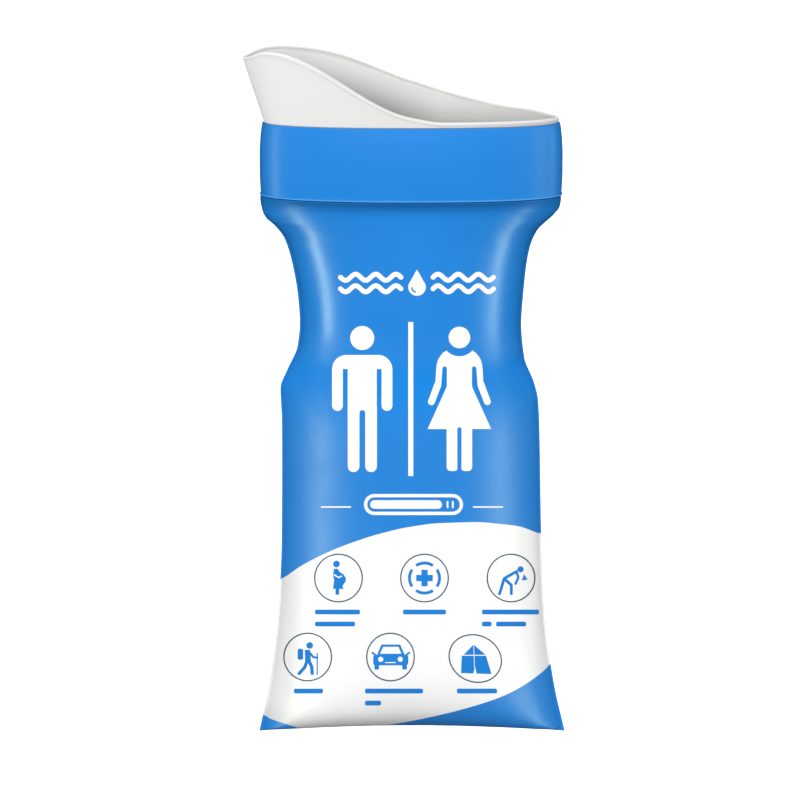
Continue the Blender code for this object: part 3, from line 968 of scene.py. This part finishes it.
def fill_gauge():
    """Generic capacity mark: a level gauge with its bar and ticks."""
    x0, x1, z0, z1 = GAUGE
    hollow = (x0 + GAUGE_LINE, x1 - GAUGE_LINE, z0 + GAUGE_LINE, z1 - GAUGE_LINE)
    frame_bar = ([box(*GAUGE, GAUGE_RADIUS)], [box(*hollow, GAUGE_RADIUS - GAUGE_LINE)])
    ticks = [filled(*stroke([(x, -42.9), (x, -40.7)], 0.7)) for x in (14.6, 16.7)]
    return [frame_bar, filled(box(-16.3, 12.4, -43.5, -40.1, 1.7))] + ticks


def expecting_icon():
    body = [(-1.8, 3.7), (-0.3, 3.7), (0.5, 2.4), (1.9, 1.6), (2.9, 0.1), (2.9, -1.3), (2.0, -2.5)]
    body += [(1.6, -3.6), (2.1, -4.4), (-2.2, -4.3), (-1.7, -1.0), (-2.2, 1.2)]
    legs = box(-1.2, 0.3, -6.7, -4.2, 0.4)
    arm = stroke([(-1.7, 1.3), (0.0, 0.2), (1.2, 0.7)], 0.55)
    return [filled(disc(-0.8, 5.6, 1.35)), ([body, legs], arm)]


def cross_icon():
    bars = [filled(band(0.0, 0.0, 6.6, 5.4, turn - 34, turn + 34)) for turn in (0, 90, 180, 270)]
    return [filled(box(-3.3, 3.3, -1.25, 1.25), box(-1.25, 1.25, -3.3, 3.3))] + bars


def bending_icon():
    figure = stroke([(2.2, 2.6), (-2.8, -0.2), (-3.8, -3.8), (-4.6, -6.3)], 1.15)
    figure += stroke([(-2.4, -0.6), (0.1, -2.8), (0.1, -6.3)], 1.15)
    figure += stroke([(2.2, 2.6), (2.9, 0.2), (1.8, -2.3)], 0.95)
    splash = [(5.2, 1.6), (6.6, -0.7), (4.3, -0.9)]
    return [filled(disc(3.8, 3.5, 1.2)), filled(*figure), filled(splash)]


def hiker_icon():
    pack = moved([box(-1.1, 1.1, -2.2, 2.2, 0.7)], -2.9, 1.1)
    body = [[(-1.2, 2.9), (1.0, 2.9), (1.3, -1.6), (-1.0, -1.6)]]
    body += stroke([(0.6, 2.0), (2.2, 0.0), (3.8, -0.3)], 0.9)
    body += stroke([(-0.2, -1.4), (-1.2, -4.1), (-3.4, -6.6)], 1.35)
    body += stroke([(0.5, -1.5), (1.6, -3.9), (1.8, -6.6)], 1.35)
    staff = stroke([(3.8, 1.5), (3.8, -7.0)], 0.5)
    return [filled(disc(0.8, 4.6, 1.35)), filled(*pack), filled(*body), filled(*staff)]


def car_icon():
    cabin = [(-3.6, 5.0), (3.9, 5.0), (5.7, 0.8), (-5.4, 0.8)]
    glass = [(-2.9, 4.1), (3.2, 4.1), (4.4, 1.3), (-4.2, 1.3)]
    wheels = [box(-6.4, -4.6, -5.0, -2.5, 0.4), box(4.7, 6.6, -5.0, -2.5, 0.4)]
    mirrors = stroke([(-7.2, 1.7), (-6.2, 1.0)], 0.8) + stroke([(7.5, 1.7), (6.5, 1.0)], 0.8)
    lamps = [disc(-3.9, -0.9, 1.05), disc(3.9, -0.9, 1.05)]
    plate = stroke([(-2.0, -2.2), (2.0, -2.2)], 0.45)
    solids = [cabin, box(-6.9, 7.1, -3.3, 0.9, 0.9)] + wheels + mirrors
    return [(solids, [glass] + lamps + plate)]


def tent_icon():
    roof = [(-0.7, 5.6), (-4.6, 1.5), (4.1, 1.5)]
    wall = [(-5.4, 1.1), (4.3, 1.1), (6.5, -6.2), (-5.7, -5.8)]
    door = [(-0.1, -3.2), (-1.0, -6.6), (0.7, -6.6)]
    seam = stroke([(-0.7, 6.5), (-0.3, -3.6)], 0.3)
    return [([roof], seam), ([wall], [door] + seam)]


# Middle of each icon on the white field, its drawing, and its ring's half axes.
ROUND_RING = (9.75, 9.75)
TENT_RING = (10.95, 9.5)
ICONS = [
    (-29.0, -71.2, expecting_icon, ROUND_RING), (5.4, -71.2, cross_icon, ROUND_RING),
    (40.0, -71.2, bending_icon, ROUND_RING), (-41.3, -102.8, hiker_icon, ROUND_RING),
    (-8.2, -102.8, car_icon, ROUND_RING), (25.7, -103.4, tent_icon, TENT_RING),
]
RING_HEADING = -25.0  # direction of a ring's longer half axis, in degrees
RING_LINE = 0.5
# Plain bars under the icons: left end, right end and height.
CAPTIONS = [
    (-38.4, -20.4, -84.8), (-38.4, -22.4, -89.6), (-3.2, 14.0, -84.8), (28.4, 51.2, -84.8),
    (28.4, 32.2, -89.6), (34.0, 46.0, -89.6), (-46.8, -35.2, -116.4), (-18.4, 4.8, -116.4),
    (-18.4, -12.0, -121.2), (18.4, 34.4, -116.4),
]
CAPTION_HEIGHT = 1.9
CAPTION_RADIUS = 0.6
# Sides, foot and top of the line between the figures, and of the lines beside the gauge.
WHITE_LINES = [(-1.1, 0.9, -30.4, 31.2), (-36.0, -24.0, -43.1, -42.5), (24.8, 36.8, -43.1, -42.5)]


def build_print(film_piece, white, blue, slate):
    """Heading, figures, gauge, icons and captions on the front sheet."""
    find = film_finder(film_piece)
    body, holes, head = woman_figure()
    figures = [man_figure(), (body, holes), filled(*head)]
    figures += [filled(box(*line)) for line in WHITE_LINES]
    rings, drawings = [], []
    for x, z, drawing, (long, short) in ICONS:
        outer = tilted_disc(x, z, long, short, RING_HEADING)
        inner = tilted_disc(x, z, long - RING_LINE, short - RING_LINE, RING_HEADING)
        rings.append(([outer], [inner]))
        drawings += [(moved(solids, x, z), moved(gaps, x, z)) for solids, gaps in drawing()]
    captions = []
    for left, right, z in CAPTIONS:
        low, high = z - CAPTION_HEIGHT / 2, z + CAPTION_HEIGHT / 2
        captions.append(filled(box(left, right, low, high, CAPTION_RADIUS)))
    lay_print("print_white_figures", find, figures, white)
    lay_print("print_heading", find, drop_and_waves(), white)
    lay_print("print_level_gauge", find, fill_gauge(), white)
    lay_print("print_icon_rings", find, rings, slate)
    lay_print("print_icon_figures", find, drawings, blue)
    lay_print("print_caption_bars", find, captions, blue)


# Valve and sachet ----------------------------------

VALVE_BEND = 58.0 * MM
VALVE_FILM = 0.2 * MM
SKIRT_GAP = 0.3 * MM
SLEEVE_SEGMENTS = 200
SLEEVE_ROWS = 26
RIPPLE = 0.5 * MM
RIPPLE_COUNT = 23
THROAT_X = 40.0 * MM
THROAT_Y = 14.0 * MM
THROAT_POWER = 5.0
LIP_TIP_X = 28.0 * MM
LIP_TIP_Y = 0.35 * MM
LIP_TIP_POWER = 2.4
LIP_RIPPLE = 0.25 * MM
LIP_RIPPLE_PITCH = 2.6 * MM
LIP_GAP = 0.05 * MM
LIP_GRID = (49, 41)  # points down and across


def valve_level(z):
    """Half sizes and squareness of the valve's sleeve at a height."""
    share = float(blend_share(z, VALVE_LOW, VALVE_BEND))
    low = (THROAT_X + VALVE_FILM, THROAT_Y + VALVE_FILM, THROAT_POWER)
    inset = FUNNEL_WALL + SKIRT_GAP
    high = (OVAL_X - inset, OVAL_Y - inset, OVAL_POWER)
    return [a + (b - a) * share for a, b in zip(low, high)]


def build_sleeve(material):
    """Clear sleeve that narrows from the funnel's skirt to the flat throat."""
    angles = round_angles(SLEEVE_SEGMENTS)
    levels = np.linspace(VALVE_LOW, VALVE_TOP, SLEEVE_ROWS)
    rings = []
    for inset, z in [(0.0, z) for z in levels] + [(VALVE_FILM, z) for z in levels[::-1]]:
        half_x, half_y, power = valve_level(z)
        x, y = oval(angles, half_x - inset, half_y - inset, power)
        ripple = RIPPLE * np.sin(angles * RIPPLE_COUNT) * blend_share(VALVE_BEND - z, 0, 8 * MM)
        ripple = ripple * np.abs(np.sin(angles)) * blend_share(z, VALVE_LOW, VALVE_LOW + 4 * MM)
        rings.append(np.stack([x, y + ripple, np.full(x.shape, z)], axis=1))
    piece = tube_mesh("valve_throat_sleeve", rings, [material])
    settle(piece, "valve_sleeve", "pouch")


def build_lip(side, hand, material):
    """Half of a valve lip, from its welded edge at the side to the valve's middle line."""
    rows, columns = LIP_GRID
    down, inward = np.meshgrid(np.linspace(0, 1, rows), np.linspace(0, 1, columns), indexing="ij")
    angle = np.pi / 2 * (1 - inward)
    x, y = oval(angle, THROAT_X, THROAT_Y, THROAT_POWER + (LIP_TIP_POWER - THROAT_POWER) * down)
    share = 0.35 * blend_share(down, 0, 1) + 0.65 * down
    x = x * (1 - share) + LIP_TIP_X * inward * share
    y = y * (1 - share) ** 1.15 + LIP_TIP_Y * np.sin(angle) ** 0.3
    slack = np.sin(np.pi * down) * np.sin(angle) ** 0.5
    y += LIP_RIPPLE * np.sin(x / LIP_RIPPLE_PITCH) * slack
    z = VALVE_LOW + (LIP_TIP_Z - VALVE_LOW) * down
    places = np.stack([hand * x, side * (y + LIP_GAP), z], axis=2)
    lip = "front" if side < 0 else "back"
    name = "valve_lip_" + lip + ("_left" if hand < 0 else "_right")
    faces = grid_faces(rows, columns, side * hand > 0)
    piece = add_mesh(name, places.reshape(-1, 3), faces, [material])
    thicken(piece, VALVE_FILM)
    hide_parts("valve_flap_" + lip)
    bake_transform(piece)


SACHET_LOW, SACHET_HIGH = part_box("sachet_front_sheet")
SACHET_MIDDLE = (SACHET_LOW.z + SACHET_HIGH.z) / 2
SACHET_HALF_X = SACHET_HIGH.x
SACHET_HALF_Z = (SACHET_HIGH.z - SACHET_LOW.z) / 2
SACHET_SEAM = 4.0 * MM
SACHET_SHEET = 0.25 * MM
SACHET_DEPTH = 3.0 * MM
CRIMP = 0.10 * MM
CRIMP_PITCH = 0.45 * MM
GATHER_PITCH = 1.5 * MM
SHEET_GRID = (153, 129)  # points across and down
PAD_GRID = (61, 51)
PAD_SHARE = 0.9  # of the room between the seams
PAD_GAP = 0.35 * MM


def pillow(x, z):
    """Half thickness of the filled sachet, with gathers that run in from its seam."""
    u = np.clip(np.abs(x) / (SACHET_HALF_X - SACHET_SEAM), 0, 1)
    v = np.clip(np.abs(z) / (SACHET_HALF_Z - SACHET_SEAM), 0, 1)
    gathers = np.sin(x / GATHER_PITCH) * v**6 + np.sin(z / GATHER_PITCH) * u**6
    lumps = wave(x, z, 9 * MM, 5.5)
    depth = SACHET_DEPTH - 0.3 * MM + 0.14 * MM * gathers + 0.22 * MM * lumps
    return (1 - u**4) * (1 - v**4) * depth


def sachet_grid(counts, half_x, half_z):
    """Places across and up of a grid of points round the sachet's middle."""
    xs = np.linspace(-half_x, half_x, counts[0])
    return np.meshgrid(xs, np.linspace(-half_z, half_z, counts[1]))


def sachet_points(x, y, z):
    return np.stack([x, y, z + SACHET_MIDDLE], axis=2).reshape(-1, 3)


def grid_rim(rows, columns):
    """Points round the border of a grid: along the first row, and back along the last one."""
    rim = list(range(columns)) + [columns * r - 1 for r in range(2, rows + 1)]
    rim += [columns * (rows - 1) + k for k in range(columns - 2, -1, -1)]
    return rim + [columns * r for r in range(rows - 2, 0, -1)]


def build_nonwoven(material):
    """Two sheets that are crimped together along the sachet's seam."""
    x, z = sachet_grid(SHEET_GRID, SACHET_HALF_X, SACHET_HALF_Z)
    seam = np.maximum(np.abs(x) - SACHET_HALF_X, np.abs(z) - SACHET_HALF_Z) + SACHET_SEAM
    crimp = CRIMP * np.cos((x + z) / CRIMP_PITCH) * blend_share(seam, 0.4 * MM, 1.0 * MM)
    for side, name in ((-1.0, "front"), (1.0, "back")):
        y = side * (WELD_GAP + pillow(x, z) + SACHET_SHEET) + crimp
        faces = grid_faces(*SHEET_GRID[::-1], side < 0)
        piece = add_mesh("sachet_" + name + "_nonwoven", sachet_points(x, y, z), faces, [material])
        thicken(piece, SACHET_SHEET)
        settle(piece, "sachet_" + name + "_sheet", "sachet")


def build_pad(material):
    """Lumpy pad of absorbent between the sheets, closed along the rim of its two faces."""
    half_x = PAD_SHARE * (SACHET_HALF_X - SACHET_SEAM)
    half_z = PAD_SHARE * (SACHET_HALF_Z - SACHET_SEAM)
    x, z = sachet_grid(PAD_GRID, half_x, half_z)
    lumps = 0.12 * MM * wave(x, z, 3.5 * MM, 8.1)
    round_off = ((1 - (np.abs(x) / half_x) ** 8) * (1 - (np.abs(z) / half_z) ** 8)) ** 0.5
    half = np.clip(pillow(x, z) - PAD_GAP + lumps, 0.1 * MM, None) * round_off + WELD_GAP
    columns, rows = PAD_GRID
    count = rows * columns
    faces = grid_faces(rows, columns, True)
    faces += [tuple(k + count for k in quad) for quad in grid_faces(rows, columns, False)]
    rim = grid_rim(rows, columns)
    faces += [(a, a + count, b + count, b) for a, b in zip(rim, rim[1:] + rim[:1])]
    verts = np.concatenate([sachet_points(x, -half, z), sachet_points(x, half, z)])
    piece = add_mesh("absorbent_pad", verts, faces, [material], degrees=60)
    settle(piece, "absorbent_core", "sachet")


# Stage ---------------------------------------------

AMBIENT = 0.78  # light from the surroundings
SEEN_WORLD = 1.4  # brightness of the surroundings and of the floor as the camera sees them
SEEN_FLOOR = 1.1
FLOOR_SIZE = 80.0
FLOOR = -1.6
STRIP_TINT = (0.82, 1.0, 0.6)
LIT_PLACE = (0.0, 0.0, -0.03)
# Fill lamps, which aren't mirrored: name, place, width and height, and power.
FILL_LAMPS = [
    ("key_front", (-0.2, -1.6, 0.55), (1.2, 0.9), 16.0),
    ("key_left", (-1.45, -0.68, 0.4), (0.9, 0.9), 2.3),
    ("key_right", (1.45, -0.68, 0.4), (0.9, 0.9), 3.3),
    ("key_back", (0.2, 1.6, 0.55), (1.2, 0.9), 17.0),
    ("top", (0.0, 0.0, 1.1), (1.2, 1.0), 3.0),
]
FUNNEL_LAMP = ("funnel_left", (-1.3, -0.5, 0.1), (0.0, 0.0, 0.08), (0.6, 0.6), 7.0)
# Upright strips, which are only mirrored, by the films and by the cuff. Each stands on both sides
# of the middle plane: name, place behind the pouch, width and height, and power.
STRIPS = [
    ("strip_left", (-1.034, 0.387, -0.62), (0.19, 1.2), 10.8),
    ("cuff_left", (-1.1, 0.02, -0.1), (0.09, 0.9), 1.3),
    ("strip_right", (1.034, 0.387, -0.62), (0.19, 1.2), 9.0),
    ("cuff_right", (1.1, 0.25, -0.1), (0.09, 0.9), 1.3),
]


def aimed(name, data, place, direction):
    """Lamp or camera at a place, looking in a direction."""
    made = add_object(name, data)
    made.location = place
    made.rotation_mode = "QUATERNION"
    made.rotation_quaternion = direction.to_track_quat("-Z", "Y")
    return made


def area_light(name, place, target, size, power, group=None):
    """Soft rectangular lamp that faces a point, and may light only one group of pieces."""
    data = bpy.data.lights.new(name, "AREA")
    data.shape = "RECTANGLE"
    data.size, data.size_y = size
    data.energy = power
    lamp = aimed(name, data, place, Vector(target) - Vector(place))
    if group:
        lamp.light_linking.receiver_collection = group
    return lamp


def build_lamps(groups):
    """Fill lamps all round, one for the funnel alone, and tinted strips that face the axis."""
    fills = [area_light(name, place, LIT_PLACE, *rest) for name, place, *rest in FILL_LAMPS]
    fills.append(area_light(*FUNNEL_LAMP, groups["funnel"]))
    for lamp in fills:
        lamp.visible_glossy = False
    for facing, end in ((-1.0, "front"), (1.0, "back")):
        for name, (x, y, z), size, power in STRIPS:
            group = groups["cuff" if name.startswith("cuff") else end]
            place = (x, facing * y, z)
            lamp = area_light(f"{name}_{end}", place, (0.0, 0.0, z), size, power, group)
            lamp.visible_diffuse = False
            lamp.data.color = STRIP_TINT


def build_camera():
    data = bpy.data.cameras.new("camera")
    data.sensor_width = 36.0
    data.lens = data.sensor_width * CAMERA_DISTANCE / VIEW_WIDTH
    data.clip_start, data.clip_end = 0.05, 60.0
    bpy.context.scene.camera = aimed("camera", data, CAMERA_PLACE, -CAMERA_BACK)


def camera_only(tree, low, high):
    """Strength that is high where the camera looks at the surface, and low for its light on others."""
    ray = add_node(tree, "ShaderNodeLightPath", "Is Camera Ray")
    inputs = {"Value": ray, "To Min": low, "To Max": high}
    return add_node(tree, "ShaderNodeMapRange", "Result", inputs)


def build_surroundings():
    """White surroundings, and a wide white floor far below the hanging pouch."""
    world = bpy.data.worlds.new("white surroundings")
    world.use_nodes = True
    tree = world.node_tree
    background = tree.nodes["Background"].inputs
    feed(tree, background["Color"], (1.0, 1.0, 1.0, 1.0))
    feed(tree, background["Strength"], camera_only(tree, AMBIENT, SEEN_WORLD))
    bpy.context.scene.world = world
    world.cycles_visibility.glossy = False

    bpy.ops.mesh.primitive_plane_add(size=FLOOR_SIZE, location=(0.0, 0.0, FLOOR))
    floor = bpy.context.object
    floor.name = "studio_floor"
    made = Material("studio floor", 0.9)
    made.put(Base_Color=made.ramp(made.noise(2.0), (0.48, 0.48, 0.48), (0.50, 0.50, 0.50)))
    glow = camera_only(made.tree, 0.0, SEEN_FLOOR)
    made.put(Emission_Color=(1.0, 1.0, 1.0, 1.0), Emission_Strength=glow)
    floor.data.materials.append(made.material)
    floor.visible_glossy = False


# Assembly ------------------------------------------

BLUE = (0.010, 0.220, 0.670)
# Paler blue of the hem: a painted highlight.
HEM_HIGHLIGHT_BLUE = (0.075, 0.33, 0.74)
WHITE = (0.93, 0.93, 0.93)

films = (
    # The blue film's last factor paints shade just under the band.
    film_material("printed blue film", BLUE, 0.30, slack=0.11, under_band_shade=0.68),
    # The white film's weld factor paints shade along its sides and towards the bottom weld.
    film_material("printed white film", WHITE, 0.37, weld=0.70),
    film_material("film inside", (0.82, 0.83, 0.83), 0.42),
)
front = build_film("front_print_film", -1.0, *films)
settle(front, "front_film", "pouch")
back = build_film("back_print_film", 1.0, *films)
settle(back, "back_film", "pouch")
cuff_film = film_material("collar blue", BLUE, 0.36, 0.4)
# The hem's paler blue material is a painted highlight.
cuff = build_band(cuff_film, film_material("painted hem highlight", HEM_HIGHLIGHT_BLUE, 0.40))
funnel_plastic = moulded_material("funnel plastic", (0.645, 0.645, 0.633), 0.55)
# The funnel's inside: a lighter base tone, and a painted shade that darkens it down the throat.
funnel_inside = moulded_material("funnel inside", (0.69, 0.687, 0.674), 0.6, (0.25, 0.25, 0.246))
funnel = build_funnel(funnel_plastic, funnel_inside)

white_ink = ink_material("white ink", (0.95, 0.95, 0.95))
blue_ink = ink_material("blue ink", BLUE)
slate_ink = ink_material("slate ink", (0.045, 0.085, 0.17))
build_print(front, white_ink, blue_ink, slate_ink)

clear_film = valve_material()
build_sleeve(clear_film)
for lip_side in (-1.0, 1.0):
    for lip_hand in (-1.0, 1.0):
        build_lip(lip_side, lip_hand, clear_film)
build_nonwoven(nonwoven_material())
build_pad(pad_material())

lamp_groups = {}
for group, piece in (("front", front), ("back", back), ("cuff", cuff), ("funnel", funnel)):
    lamp_groups[group] = bpy.data.collections.new("lamps for " + group)
    lamp_groups[group].objects.link(piece)
build_camera()
build_surroundings()
build_lamps(lamp_groups)
bpy.context.scene.view_settings.view_transform = "Standard"
bpy.context.scene.view_settings.look = "None"
